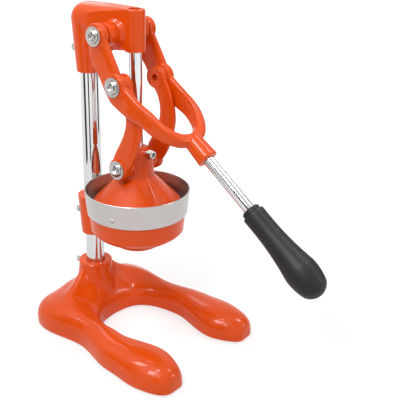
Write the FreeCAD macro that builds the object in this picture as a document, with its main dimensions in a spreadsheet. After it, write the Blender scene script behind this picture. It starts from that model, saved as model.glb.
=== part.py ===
import FreeCAD
import Part
import Sketcher
import math
import os
import re

from FreeCAD import Placement, Rotation, Vector

# A hand lever citrus press: horseshoe base, column, head, forked lever, two links,
# a bell that slides on a guide rod, and a juice cup held under it.
# Lengths are millimetres. Z is up, the column stands on the Z axis, the front is -Y.

SIZES = {
    # Column and guide rod
    "column_dia": 23.5,
    "column_foot": 9.0,
    "column_cover": 13.0,
    "guide_offset": 76.5,
    "guide_dia": 15.0,
    "guide_tip": 386.0,
    # Running and seating clearances
    "seat_gap": 0.1,
    "running_gap": 0.1,
    "face_gap": 0.2,
    "link_gap": 0.4,
    # Base casting, plan sizes are halves measured from the middle plane
    "pad_height": 2.5,
    "pad_dia": 17.0,
    "base_height": 29.0,
    "base_crest": 60.0,
    "base_wall": 7.0,
    "hip_half": 86.0,
    "waist_half": 79.0,
    "toe_half": 94.0,
    "toe_inner": 38.0,
    "opening_half": 51.0,
    "opening_back": 35.0,
    "base_front": 196.0,
    "base_rear": 42.0,
    "base_boss_dia": 42.6,
    "base_socket_dia": 40.0,
    "base_boss_top": 70.4,
    # Head casting
    "head_bottom": 319.0,
    "head_top": 402.0,
    "collar_dia": 30.4,
    "collar_crown_dia": 39.0,
    "guide_boss_dia": 23.4,
    "guide_boss_bottom": 351.8,
    "guide_boss_top": 398.7,
    "head_web": 19.0,
    "arch_setback": 50.0,
    "crown_run": 30.0,
    # Pivots
    "lever_pivot_back": 55.6,
    "lever_pivot_up": 371.3,
    "link_pivot_back": 83.2,
    "link_pivot_up": 318.9,
    "bell_pivot_up": 219.9,
    "pivot_bolt_dia": 10.0,
    "bolt_head_dia": 17.6,
    "bolt_head_rise": 5.2,
    "bolt_socket": 6.0,
    "bolt_thread": 11.0,
    "washer_dia": 22.0,
    "washer_thick": 1.5,
    "spacer_dia": 19.0,
    "pivot_boss_dia": 27.0,
    # Lever fork
    "arm_inner": 33.2,
    "arm_thick": 9.3,
    "eye_dia": 28.0,
    "eye_raise": 0.8,
    "fork_bend": 123.0,
    "fork_crotch": 116.0,
    "fork_bevel": 2.2,
    "socket_up": 248.0,
    "socket_back": 181.5,
    "socket_dia": 23.4,
    "socket_root_dia": 20.0,
    "socket_length": 31.0,
    "handle_slope": 37.6,
    # Links
    "link_inner": 24.0,
    "link_eye_dia": 26.0,
    "link_web_set": 0.9,
    "link_width": 14.5,
    "link_bow": 96.2,
    "link_round": 2.6,
    # Bell
    "bell_dia": 104.0,
    "bell_bottom": 166.0,
    "bell_rim": 8.0,
    "bell_wall": 4.0,
    "neck_dia": 40.8,
    "neck_bottom": 205.5,
    "neck_shoulder": 234.0,
    "neck_top": 246.5,
    "neck_top_dia": 26.0,
    "guide_depth": 36.0,
    # Handle
    "rod_dia": 12.5,
    "rod_bare": 68.5,
    "thread_dia": 10.0,
    "thread_length": 14.0,
    "grip_length": 109.5,
    "grip_collar_dia": 20.0,
    "grip_neck_dia": 23.6,
    "grip_bulge_dia": 35.0,
    "grip_cap": 8.5,
    "tang_depth": 62.0,
    # Bowl holder and juice cup
    "cup_dia": 125.0,
    "cup_rim": 189.4,
    "cup_floor": 161.0,
    "cup_sheet": 1.2,
    "bowl_dia": 115.0,
    "bowl_wall": 3.5,
    "bowl_break": 139.0,
    "spout_dia": 54.0,
    "spout_top": 126.0,
    "spout_bottom": 119.0,
    "outlet_dia": 46.0,
    "holder_collar_dia": 39.0,
    "holder_collar_low_dia": 32.0,
    "holder_collar_bottom": 110.7,
    "reamer_dia": 66.0,
    "reamer_top": 194.0,
    "strainer_lap": 2.0,
    "strainer_plate": 1.6,
    "strainer_slots": 32.0,
    # Set screws
    "set_screw_dia": 6.0,
    "set_head_dia": 10.0,
    "set_head_rise": 6.0,
    "set_socket": 5.0,
    "base_screw_up": 60.0,
    "head_screw_up": 346.0,
    "holder_screw_up": 134.0,
    "clamp_screw_up": 233.5,
}

SIDES = {"left": -1, "right": 1}

doc = FreeCAD.newDocument("lever_citrus_press")
sheet = doc.addObject("Spreadsheet::Sheet", "sizes")
for row, (alias, number) in enumerate(SIZES.items(), start=1):
    sheet.set("A%d" % row, alias)
    sheet.set("B%d" % row, str(number))
    sheet.setAlias("B%d" % row, alias)
doc.recompute()


def full(expression):
    """Give every driving size in an expression the name of its sheet."""
    return re.sub(r"[a-z][a-z_]+", lambda word: "sizes." + word[0] if word[0] in SIZES else word[0], str(expression))


def value(expression):
    """The number that an expression has now."""
    return float(sheet.evalExpression(full(expression)))


def bind(item, prop, expression):
    """Tie one property to an expression of the driving sizes."""
    item.setExpression(prop, full(expression))


def place(item, at=("0", "0", "0"), turn=Rotation()):
    """Put an item at a point given by expressions, turned as asked."""
    item.Placement = Placement(Vector(*[value(part) for part in at]), turn)
    for axis, part in zip("xyz", at):
        bind(item, "Placement.Base." + axis, part)


TO_X = Rotation(Vector(0, 1, 0), 90)
TO_BACK = Rotation(Vector(1, 0, 0), -90)
TO_FRONT = Rotation(Vector(1, 0, 0), 90)


def toward(side):
    """The turn that points an item's own Z axis to the left or to the right."""
    return Rotation(Vector(0, 1, 0), 90 * side)


def primitive(kind, name, sizes, at=("0", "0", "0"), turn=Rotation()):
    """A Part primitive with its sizes and its place tied to expressions."""
    item = doc.addObject("Part::" + kind, name)
    for prop, expression in sizes.items():
        bind(item, prop, expression)
    place(item, at, turn)
    return item


def cylinder(name, dia, height, at=("0", "0", "0"), turn=Rotation()):
    return primitive("Cylinder", name, {"Radius": "(%s) / 2" % dia, "Height": height}, at, turn)


def cone(name, low_dia, high_dia, height, at=("0", "0", "0"), turn=Rotation()):
    sizes = {"Radius1": "(%s) / 2" % low_dia, "Radius2": "(%s) / 2" % high_dia, "Height": height}
    return primitive("Cone", name, sizes, at, turn)


def fuse(name, items):
    joined = doc.addObject("Part::MultiFuse", name)
    joined.Shapes = items
    joined.Refine = True
    return joined


def common(name, base, tool):
    shared = doc.addObject("Part::Common", name)
    shared.Base = base
    shared.Tool = tool
    return shared


def cut(name, base, tools):
    """Cut a list of tools from a base."""
    tool = tools[0] if len(tools) == 1 else fuse(name + "_tools", tools)
    left = doc.addObject("Part::Cut", name)
    left.Base = base
    left.Tool = tool
    return left


def corner(sketch, edge, point):
    """Which end of a sketch edge lies at a point."""
    shape = sketch.Geometry[edge]
    near = shape.StartPoint.distanceToPoint(point) < shape.EndPoint.distanceToPoint(point)
    return 1 if near else 2


def draw(sketch, steps):
    """Draw a closed outline of straight runs and arcs whose corners are expressions.

    A step is (x, y) for a straight run to that corner, or (x, y, via_x, via_y) for an
    arc to it through a point on the way.
    """
    ends = [Vector(value(step[0]), value(step[1]), 0) for step in steps]
    for index, step in enumerate(steps):
        start = ends[index - 1]
        if len(step) == 2:
            sketch.addGeometry(Part.LineSegment(start, ends[index]), False)
        else:
            via = Vector(value(step[2]), value(step[3]), 0)
            left_turn = (via - start).cross(ends[index] - via).z > 0
            arc = Part.Arc(start, via, ends[index]) if left_turn else Part.Arc(ends[index], via, start)
            sketch.addGeometry(arc, False)
    for index, step in enumerate(steps):
        after = (index + 1) % len(steps)
        here = corner(sketch, index, ends[index])
        there = corner(sketch, after, ends[index])
        sketch.addConstraint(Sketcher.Constraint("Coincident", index, here, after, there))
        for kind, part in (("DistanceX", step[0]), ("DistanceY", step[1])):
            mark = sketch.addConstraint(Sketcher.Constraint(kind, -1, 1, index, here, value(part)))
            sketch.setExpression("Constraints[%d]" % mark, full(part))


def loose_sketch(name, steps, plane, at=("0", "0", "0")):
    """A sketch in the XY, XZ or YZ plane, for an extrusion."""
    turns = {"XY": Rotation(), "XZ": Rotation(Vector(1, 0, 0), 90), "YZ": Rotation(Vector(1, 1, 1), 120)}
    sketch = doc.addObject("Sketcher::SketchObject", name)
    draw(sketch, steps)
    place(sketch, at, turns[plane])
    return sketch


def extrude(name, sketch, direction, length, both=False):
    solid = doc.addObject("Part::Extrusion", name)
    solid.Base = sketch
    solid.DirMode = "Custom"
    solid.Dir = direction
    solid.Solid = True
    solid.Symmetric = both
    bind(solid, "LengthFwd", length)
    return solid


def origin_plane(body, role):
    for feature in body.Origin.OriginFeatures:
        if feature.Role == role:
            return feature


def new_body(name):
    body = doc.addObject("PartDesign::Body", name)
    body.Label = name
    return body


def body_sketch(body, name, role, lift="0"):
    """A sketch in one of the body's own origin planes, lifted off it by an expression."""
    sketch = body.newObject("Sketcher::SketchObject", name)
    sketch.AttachmentSupport = [(origin_plane(body, role), "")]
    sketch.MapMode = "FlatFace"
    sketch.AttachmentOffset = Placement(Vector(0, 0, value(lift)), Rotation())
    bind(sketch, "AttachmentOffset.Base.z", lift)
    return sketch


def dome_cap(radius, rise, top):
    """The step that closes a turned outline with a ball-shaped cap of a given base radius and rise."""
    ball = "(((%s) ^ 2 + (%s) ^ 2) / (2 * (%s)))" % (radius, rise, rise)
    half = "(asin((%s) / %s) / 2)" % (radius, ball)
    return ("0", top, "%s * sin(%s)" % (ball, half), "%s - %s * (1 - cos(%s))" % (top, ball, half))


def turned(name, steps, at=("0", "0", "0"), turn=Rotation()):
    """A turned piece: steps give radius and height, and the body is put in place after."""
    body = new_body(name)
    sketch = body_sketch(body, name + "_section", "XZ_Plane")
    draw(sketch, steps)
    solid = body.newObject("PartDesign::Revolution", name + "_turned")
    solid.Profile = sketch
    solid.ReferenceAxis = (sketch, ["V_Axis"])
    solid.Angle = 360
    place(body, at, turn)
    return body


def pocket(body, name, sketch, depth, through=False):
    """A pocket, turned round when it would cut nothing."""
    doc.recompute()
    before = body.Shape.Volume
    hollow = body.newObject("PartDesign::Pocket", name)
    hollow.Profile = sketch
    if through:
        hollow.Type = "ThroughAll"
    else:
        bind(hollow, "Length", depth)
    doc.recompute()
    if body.Shape.Volume > before - 0.01:
        hollow.Reversed = True
        doc.recompute()
    return hollow


def hexagon(across):
    """Corners of a hexagon given by its size across the flats."""
    radius = "(%s) / sqrt(3)" % across
    return [("%s * cos(%d)" % (radius, turn), "%s * sin(%d)" % (radius, turn)) for turn in range(0, 360, 60)]


def finish(name, item):
    """Name the last feature of a sub-part after its node."""
    item.Label = name
    return item


pieces = {}


def keep(name, item):
    pieces[name] = finish(name, item)
    return item


# Base casting

def hill(share, fullness):
    """Rise from the edge (0) to the crest (1): a quarter circle when full, a hollow slope when not."""
    round_rise = math.sqrt(1 - (1 - share) ** 2)
    hollow_rise = 0.35 * share + 0.65 * share ** 3
    return fullness * round_rise + (1 - fullness) * hollow_rise


def base_stations(wall):
    """Cross sections of the right half, from the middle plane round the hip to the toe.

    Each is (inner point, outer point, crest height, crest place, fullness, edge height), drawn in
    by the wall thickness for the hollow underside.
    """
    rear = value("base_rear")
    hip = value("hip_half")
    waist = value("waist_half")
    toe = value("toe_half")
    inner = value("toe_inner")
    front = -value("base_front")
    opening = value("opening_half")
    back = -value("opening_back")
    crest = value("base_crest")
    leg = value("base_height")
    middle = (toe + inner) / 2
    rows = (
        ((0, back), (0, rear - 4), crest, 0.48, 0.52, 14),
        ((opening * 0.45, back - 3), (hip * 0.30, rear - 1), crest - 1.5, 0.48, 0.50, 14),
        ((opening * 0.62, back - 7), (hip * 0.46, rear), crest - 11, 0.48, 0.50, 14),
        ((opening * 0.76, back - 14), (hip * 0.62, rear), crest - 18, 0.49, 0.58, 14),
        ((opening * 0.91, back - 29), (hip * 0.90, rear * 0.66), leg * 1.20, 0.50, 0.80, 14),
        ((opening * 0.97, back - 43), (hip * 0.985, rear * -0.10), leg * 1.05, 0.47, 0.95, 14),
        ((opening, back - 60), (waist, back - 22), leg * 1.0, 0.44, 1.0, 14),
        ((opening * 0.97, front * 0.555), (waist + (toe - waist) * 0.70, front * 0.50), leg * 0.97, 0.42, 1.0, 13),
        ((opening - (opening - inner) * 0.62, front * 0.665), (toe - 2, front * 0.64), leg, 0.45, 1.0, 12),
        ((inner, front * 0.79), (toe, front * 0.76), leg * 1.02, 0.47, 1.0, 11),
        ((inner + 4, front * 0.885), (toe - 3, front * 0.87), leg * 0.96, 0.48, 1.0, 9),
        ((middle - 17, front * 0.955), (middle + 19, front * 0.95), leg * 0.80, 0.5, 1.0, 7),
        ((middle - 7, front * 0.992), (middle + 8, front * 0.99), leg * 0.48, 0.5, 1.0, 4),
    )
    stations = []
    for near, far, height, place, fullness, edge in rows:
        start = Vector(near[0], near[1], 0)
        across = Vector(far[0], far[1], 0) - start
        draw = across * (min(wall, across.Length * 0.3) / across.Length)
        stations.append((start + draw, across - draw * 2, height - wall, place, fullness, max(edge - wall, 2.0)))
    if wall:
        stations = stations[:-2]
    return stations


def base_section(station, low):
    """One closed section: flat below, a short upright edge each side, and a hill between."""
    start, across, height, place, fullness, edge = station
    top = [start, start + Vector(0, 0, edge * 0.6) - across * 0.004]
    for share in (0.0, 0.08, 0.22, 0.45, 0.75):
        rise = edge + (height - edge) * hill(share, fullness)
        top.append(start + across * (0.006 + (place - 0.006) * share) + Vector(0, 0, rise))
    for share in (1.0, 0.75, 0.45, 0.22, 0.08, 0.0):
        rise = edge + (height - edge) * hill(share, fullness)
        top.append(start + across * (0.994 - (0.994 - place) * share) + Vector(0, 0, rise))
    top += [start + across * 1.004 + Vector(0, 0, edge * 0.6), start + across]
    lifted = [Vector(point.x, point.y, low if index in (0, len(top) - 1) else point.z + low)
              for index, point in enumerate(top)]
    curve = Part.BSplineCurve()
    curve.interpolate(Points=lifted)
    return Part.Wire([curve.toShape(), Part.LineSegment(lifted[-1], lifted[0]).toShape()])


def base_shell(wall, low):
    """The horseshoe as one smooth skin through its sections, left toe to right toe."""
    half = base_stations(wall)
    flip = Vector(-1, 1, 1)
    other = []
    for start, across, height, place, fullness, edge in half[:0:-1]:
        turned_start = Vector(start.x * flip.x, start.y, 0)
        other.append((turned_start, Vector(across.x * flip.x, across.y, 0), height, place, fullness, edge))
    wires = [base_section(station, low) for station in other + half]
    return Part.makeLoft(wires, True, False)


def base_recess(name, wall, low, high):
    """The hollow under the casting: its plan drawn in by a wall thickness, with straight sides."""
    half = base_stations(wall)[:-3]
    right = [start for start, *rest in half] + [row[0] + row[1] for row in reversed(half)]
    outline = right + [Vector(-point.x, point.y, 0) for point in reversed(right) if point.x > 0.1]
    outline = [point + Vector(0, 0, value(low)) for point in outline]
    ring_curve = Part.BSplineCurve()
    ring_curve.interpolate(Points=outline, PeriodicFlag=True)
    recess = doc.addObject("Part::Feature", name)
    recess.Shape = Part.Face(Part.Wire([ring_curve.toShape()])).extrude(Vector(0, 0, value(high) - value(low)))
    return recess


def build_base():
    skin = doc.addObject("Part::Feature", "base_skin")
    skin.Shape = base_shell(0.0, value("pad_height"))
    recesses = [
        base_recess("base_recess_wide", value("base_wall"), "pad_height - 1", "base_height * 0.42"),
        base_recess("base_recess_deep", value("base_wall") * 2.1, "pad_height - 1", "base_height * 0.70"),
    ]
    shell = cut("base_shell", skin, recesses)
    boss = turned("base_boss", [
        ("0", "pad_height"),
        ("base_socket_dia / 2", "pad_height"),
        ("base_socket_dia / 2", "base_crest * 0.5"),
        ("base_boss_dia / 2 + 6.6", "base_crest * 0.55"),
        ("base_boss_dia / 2", "base_boss_top - 6", "base_boss_dia / 2 + 2", "base_crest * 0.82"),
        ("base_boss_dia / 2", "base_boss_top - 1"),
        ("base_boss_dia / 2 - 1", "base_boss_top"),
        ("0", "base_boss_top"),
    ])
    parts = [shell, boss]
    for index, (across, along) in enumerate(pad_places()):
        for side, sign in SIDES.items():
            at = ("%d * (%s)" % (sign, across), along, "pad_height")
            parts.append(cylinder("base_post_%d_%s" % (index, side), "pad_dia + 1", "base_height * 0.75", at))
    tools = [
        cylinder("base_bore", "column_dia + 2 * seat_gap", "base_boss_top", ("0", "0", "column_foot")),
        cone("base_bore_lip", "column_dia", "column_dia + 3", "1.5", ("0", "0", "base_boss_top - 1.4")),
        cylinder("base_screw_hole", "set_screw_dia + 2 * seat_gap", "60", ("0", "0", "base_screw_up"), TO_BACK),
    ]
    keep("base_casting", cut("base_casting", fuse("base_body", parts), tools))


def pad_places():
    """Where the rubber pads sit under the toes and the hips."""
    toe = ("(toe_half + toe_inner) / 2", "-base_front * 0.86")
    hip = ("hip_half * 0.72", "base_rear * 0.28")
    return [toe, hip]


def build_pads():
    pads = []
    for index, (across, along) in enumerate(pad_places()):
        for side, sign in SIDES.items():
            at = ("%d * (%s)" % (sign, across), along, "0")
            pads.append(cylinder("pad_%d_%s" % (index, side), "pad_dia", "pad_height", at))
    group = doc.addObject("Part::Compound", "foot_pads")
    group.Links = pads
    keep("foot_pads", group)


# Column and guide rod

def build_column():
    steps = [
        ("0", "column_foot"),
        ("column_dia / 2 - 1", "column_foot"),
        ("column_dia / 2", "column_foot + 1"),
        ("column_dia / 2", "head_top - column_cover - 1"),
        ("column_dia / 2 - 1", "head_top - column_cover"),
        ("0", "head_top - column_cover"),
    ]
    keep("column", turned("column", steps))


def build_guide_rod():
    foot = "neck_top - guide_depth + 0.5"
    steps = [
        ("0", foot),
        ("guide_dia / 2 - 1", foot),
        ("guide_dia / 2", foot + " + 1"),
        ("guide_dia / 2", "guide_tip - 1"),
        ("guide_dia / 2 - 1", "guide_tip"),
        ("0", "guide_tip"),
    ]
    keep("guide_rod", turned("guide_rod", steps, ("0", "-guide_offset", "0")))


# Head casting

def build_head():
    crown = "collar_crown_dia / 2"
    shoulder = "(head_top - collar_crown_dia / 2)"
    plan = [
        (crown + " + 0.1", "0"),
        ("0 - %s - 0.1" % crown, "0"),
        ("-guide_boss_dia / 2", "-guide_offset"),
        ("guide_boss_dia / 2", "-guide_offset"),
    ]
    side = [
        ("1", "head_top + 1"),
        ("-crown_run", "head_top"),
        ("-guide_offset", "guide_boss_top"),
        ("-guide_offset", "guide_boss_bottom + 2"),
        ("-arch_setback", "guide_boss_bottom"),
        ("-14", "head_bottom + 0.5", "-24", "guide_boss_bottom - 12"),
        ("1", "head_bottom + 0.5"),
    ]
    dome = [
        ("head_web / 2", "head_bottom - 1"),
        ("head_web / 2", "head_bottom + 26"),
        (crown + " + 0.2", shoulder),
        ("0 - %s - 0.2" % crown, shoulder, "0", "head_top + 0.2"),
        ("-head_web / 2", "head_bottom + 26"),
        ("-head_web / 2", "head_bottom - 1"),
    ]
    tall = extrude("head_plan_block", loose_sketch("head_plan", plan, "XY", ("0", "0", "head_bottom - 2")),
                   Vector(0, 0, 1), "head_top - head_bottom + 5")
    wide = extrude("head_side_block", loose_sketch("head_side", side, "YZ"), Vector(1, 0, 0),
                   "2 * collar_crown_dia", True)
    round_top = extrude("head_dome_block", loose_sketch("head_dome", dome, "XZ"), Vector(0, 1, 0),
                        "4 * guide_offset", True)
    web = common("head_web_body", common("head_outline_body", tall, wide), round_top)
    sleeve = turned("head_sleeve", [
        ("0", "head_bottom"),
        ("collar_dia / 2 - 1", "head_bottom"),
        ("collar_dia / 2", "head_bottom + 1"),
        (crown, shoulder),
        ("0", "head_top", crown + " * sin(45)", "%s + %s * cos(45)" % (shoulder, crown)),
    ])
    boss = turned("head_guide_boss", [
        ("0", "guide_boss_bottom"),
        ("guide_boss_dia / 2", "guide_boss_bottom"),
        ("guide_boss_dia / 2", "guide_boss_top - 2.5"),
        ("guide_boss_dia / 2 - 2.5", "guide_boss_top", "guide_boss_dia / 2 - 0.7", "guide_boss_top - 0.7"),
        ("0", "guide_boss_top"),
    ], ("0", "-guide_offset", "0"))
    face = "(arm_inner - washer_thick - face_gap)"
    trunnion = cylinder("head_trunnion", "pivot_boss_dia", "2 * " + face,
                        ("-" + face, "-lever_pivot_back", "lever_pivot_up"), TO_X)
    collars = []
    for side, sign in SIDES.items():
        at = ("%d * guide_boss_dia / 2" % sign, "-lever_pivot_back", "lever_pivot_up")
        collars.append(cone("head_trunnion_root_" + side, "pivot_boss_dia + 10", "pivot_boss_dia", "5", at, toward(sign)))
    body = fuse("head_body", [web, sleeve, boss, trunnion] + collars)
    tools = [
        cylinder("head_column_bore", "column_dia + 2 * seat_gap", "head_top - column_cover - head_bottom + 2",
                 ("0", "0", "head_bottom - 1")),
        cylinder("head_guide_bore", "guide_dia + 2 * running_gap", "head_top", ("0", "-guide_offset", "300")),
        cylinder("head_screw_hole", "set_screw_dia + 2 * seat_gap", "40", ("0", "0", "head_screw_up"), TO_BACK),
    ]
    for side, sign in SIDES.items():
        at = ("%d * (arm_inner - bolt_thread - 1.5)" % sign, "-lever_pivot_back", "lever_pivot_up")
        tools.append(cylinder("head_thread_" + side, "pivot_bolt_dia + 2 * seat_gap", "40", at, toward(sign)))
    keep("head_casting", cut("head_casting", body, tools))


# Fasteners

def pivot_bolt(name, side, seat, back, up, length):
    """A domed socket bolt that points inward from its washer; seat is the washer's outer face."""
    steps = [
        ("0", "0 - %s" % length),
        ("pivot_bolt_dia / 2 - 1", "0 - %s" % length),
        ("pivot_bolt_dia / 2", "1 - %s" % length),
        ("pivot_bolt_dia / 2", "0"),
        ("bolt_head_dia / 2", "0"),
        ("bolt_head_dia / 2", "bolt_head_rise * 0.25"),
        ("bolt_head_dia * 0.45", "bolt_head_rise * 0.58"),
        ("bolt_head_dia * 0.36", "bolt_head_rise * 0.84"),
        ("bolt_head_dia * 0.25", "bolt_head_rise"),
        ("0", "bolt_head_rise"),
    ]
    body = turned(name, steps, ("%d * (%s)" % (SIDES[side], seat), "0 - " + back, up), toward(SIDES[side]))
    mouth = body_sketch(body, name + "_hexagon", "XY_Plane", "bolt_head_rise")
    draw(mouth, hexagon("bolt_socket"))
    pocket(body, name + "_socket", mouth, "bolt_head_rise * 0.6")
    keep(name, body)


def ring(name, outer, inner, thick, at, turn):
    """A flat washer."""
    steps = [
        ("(%s) / 2" % inner, "0"),
        ("(%s) / 2" % outer, "0"),
        ("(%s) / 2" % outer, thick),
        ("(%s) / 2" % inner, thick),
    ]
    keep(name, turned(name, steps, at, turn))


ARM_OUTER = "arm_inner + arm_thick + eye_raise"
LINK_OUTER = "arm_inner - link_gap"


def build_pivots():
    """Bolts and washers of the three pivots on each side."""
    hole = "pivot_bolt_dia + 2 * running_gap"
    for side, sign in SIDES.items():
        rows = (
            ("lever_bolt", ARM_OUTER, "lever_pivot_back", "lever_pivot_up",
             "arm_thick + eye_raise + washer_thick * 2 + face_gap * 2 + bolt_thread - 2"),
            ("link_top_bolt", ARM_OUTER, "link_pivot_back", "link_pivot_up",
             "arm_thick + eye_raise + washer_thick + face_gap"),
            ("link_bottom_bolt", LINK_OUTER, "guide_offset", "bell_pivot_up",
             "arm_inner - link_gap - link_inner + washer_thick + face_gap + bolt_thread"),
        )
        for name, face, back, up, length in rows:
            at = ("%d * (%s + face_gap)" % (sign, face), "0 - " + back, up)
            ring("%s_washer_%s" % (name, side), "washer_dia", hole, "washer_thick", at, toward(sign))
            seat = "%s + face_gap + washer_thick" % face
            pivot_bolt("%s_%s" % (name, side), side, seat, back, up, "(%s)" % length)
        at = ("%d * (arm_inner - washer_thick - face_gap)" % sign, "-lever_pivot_back", "lever_pivot_up")
        ring("lever_spacer_" + side, "spacer_dia", hole, "washer_thick", at, toward(sign))


def cap_screw(name, length, at, turn):
    """A socket head screw; at is the under side of its head and it points along its own -Z."""
    steps = [
        ("0", "0 - (%s)" % length),
        ("set_screw_dia / 2 - 0.6", "0 - (%s)" % length),
        ("set_screw_dia / 2", "0.6 - (%s)" % length),
        ("set_screw_dia / 2", "0"),
        ("set_head_dia / 2", "0"),
        ("set_head_dia / 2", "set_head_rise - 0.6"),
        ("set_head_dia / 2 - 0.6", "set_head_rise"),
        ("0", "set_head_rise"),
    ]
    body = turned(name, steps, at, turn)
    mouth = body_sketch(body, name + "_hexagon", "XY_Plane", "set_head_rise")
    draw(mouth, hexagon("set_socket"))
    pocket(body, name + "_socket", mouth, "set_head_rise * 0.55")
    keep(name, body)


def build_set_screws():
    reach = "column_dia / 2 + seat_gap"
    cap_screw("base_set_screw", "base_boss_dia / 2 + 5 - (%s)" % reach,
              ("0", "base_boss_dia / 2 + 5", "base_screw_up"), TO_BACK)
    cap_screw("head_set_screw", "collar_crown_dia / 2 + face_gap - (%s)" % reach,
              ("0", "collar_crown_dia / 2 + face_gap", "head_screw_up"), TO_BACK)
    cap_screw("holder_set_screw", "holder_collar_dia / 2 + 3 - (%s)" % reach,
              ("0", "holder_collar_dia / 2 + 3", "holder_screw_up"), TO_BACK)
    cap_screw("bell_clamp_screw", "neck_dia / 2 + 5.5 - guide_dia / 2 - seat_gap",
              ("0", "-guide_offset - neck_dia / 2 - 5.5", "clamp_screw_up"), TO_FRONT)


# Lever fork and handle

def fork_plan_steps():
    """The wishbone seen from above: straight arms that end in a half ring, thicker at the socket."""
    outer = "(arm_inner + arm_thick)"
    rear = "eye_dia - lever_pivot_back"
    return [
        (outer, rear),
        (outer, "-fork_bend"),
        ("-" + outer, "-fork_bend", "0", "-fork_bend - " + outer),
        ("-" + outer, rear),
        ("-arm_inner", rear),
        ("-arm_inner", "-fork_crotch"),
        ("arm_inner", "-fork_crotch", "0", "-fork_crotch - arm_inner"),
        ("arm_inner", rear),
    ]


def curve_through(points):
    curve = Part.BSplineCurve()
    curve.interpolate(Points=points)
    return curve.toShape()


def fork_side():
    """The arm seen from the side, as a face in the YZ plane.

    Its edges follow the line between the two pivots and then the line from the lower pivot
    to the socket's end; each pair is a share of that line and a distance off it.
    """
    top = Vector(0, -value("lever_pivot_back"), value("lever_pivot_up"))
    low = Vector(0, -value("link_pivot_back"), value("link_pivot_up"))
    end = Vector(0, -value("socket_back"), value("socket_up"))
    runs = {
        "upper": (((-0.06, 10.0), (0.5, 11.5), (0.9, 12.0)),
                  ((0.12, 8.8), (0.20, 8.2), (0.30, 6.0), (0.41, 4.0), (0.52, 1.8), (0.62, -0.6), (0.72, -2.6), (0.84, -3.8))),
        "lower": (((-0.06, -12.5), (0.18, -18.6), (0.39, -20.6), (0.57, -19.6), (0.77, -17.5), (1.04, -14.2)),
                  ((0.045, -15.3), (0.174, -16.6), (0.33, -15.0), (0.48, -13.6), (0.60, -12.5), (0.72, -11.4), (0.84, -10.6))),
    }
    edges = {}
    for name, (eyes, reach) in runs.items():
        points = []
        for start, finish_at, pairs in ((top, low, eyes), (low, end, reach)):
            along = finish_at - start
            off = Vector(0, along.z, -along.y).normalize()
            points += [start + along * share + off * distance for share, distance in pairs]
        edges[name] = points
    sides = [curve_through(edges["upper"]), curve_through(edges["lower"])]
    ends = [Part.LineSegment(edges["upper"][spot], edges["lower"][spot]).toShape() for spot in (0, -1)]
    return Part.Face(Part.Wire(Part.__sortEdges__(sides + ends)))


def build_fork():
    tall = extrude("fork_plan_block", loose_sketch("fork_plan", fork_plan_steps(), "XY", ("0", "0", "socket_up / 2")),
                   Vector(0, 0, 1), "lever_pivot_up")
    wide = doc.addObject("Part::Feature", "fork_side_block")
    half = value("2 * (arm_inner + arm_thick)")
    wide.Shape = fork_side().extrude(Vector(2 * half, 0, 0))
    wide.Placement = Placement(Vector(-half, 0, 0), Rotation())
    arms = soften("fork_arms_soft", common("fork_arms", tall, wide), "fork_bevel", fork_long_edge, "Chamfer")
    parts = [arms]
    tools = []
    for side, sign in SIDES.items():
        for name, back, up in (("top", "lever_pivot_back", "lever_pivot_up"), ("low", "link_pivot_back", "link_pivot_up")):
            at = ("%d * arm_inner" % sign, "0 - " + back, up)
            parts.append(cylinder("fork_eye_%s_%s" % (name, side), "eye_dia", "arm_thick + eye_raise", at, toward(sign)))
            hole_at = ("%d * (arm_inner - 2)" % sign, "0 - " + back, up)
            tools.append(cylinder("fork_hole_%s_%s" % (name, side), "pivot_bolt_dia + 2 * running_gap",
                                  "arm_thick + 8", hole_at, toward(sign)))
    turn = handle_turn()
    root = ("0", "-socket_back + socket_length * cos(handle_slope)", "socket_up + socket_length * sin(handle_slope)")
    parts.append(cone("fork_socket", "socket_root_dia", "socket_dia", "socket_length", root, turn))
    hole = ("0", "-socket_back + (thread_length + 2) * cos(handle_slope)",
            "socket_up + (thread_length + 2) * sin(handle_slope)")
    tools.append(cylinder("fork_thread_hole", "thread_dia + 2 * seat_gap", "thread_length + 8", hole, turn))
    keep("lever_fork", cut("lever_fork", fuse("fork_body", parts), tools))


def fork_long_edge(edge):
    """The long front edge along each arm's outer side."""
    if edge.Length < 40:
        return False
    middle = edge.valueAt((edge.FirstParameter + edge.LastParameter) / 2)
    outer = value("arm_inner + arm_thick")
    level = value("(lever_pivot_up + link_pivot_up) / 2 - 40") - (middle.y + value("link_pivot_back")) * -0.7
    return abs(abs(middle.x) - outer) < 0.6 and middle.z > level


def soften(name, item, radius, choose, kind="Fillet"):
    """Round or bevel the edges that a test picks out."""
    doc.recompute()
    rounded = doc.addObject("Part::" + kind, name)
    rounded.Base = item
    size = value(radius)
    rounded.Edges = [(number, size, size) for number, edge in enumerate(item.Shape.Edges, start=1) if choose(edge)]
    return rounded


def handle_turn():
    """Points an item's own Z axis along the handle, forward and down."""
    return Rotation(Vector(1, 0, 0), 90 + value("handle_slope"))


def handle_turned(name, steps):
    """A turned piece on the handle's axis; heights run from the end of the fork's socket."""
    keep(name, turned(name, steps, ("0", "-socket_back", "socket_up"), handle_turn()))


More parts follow.
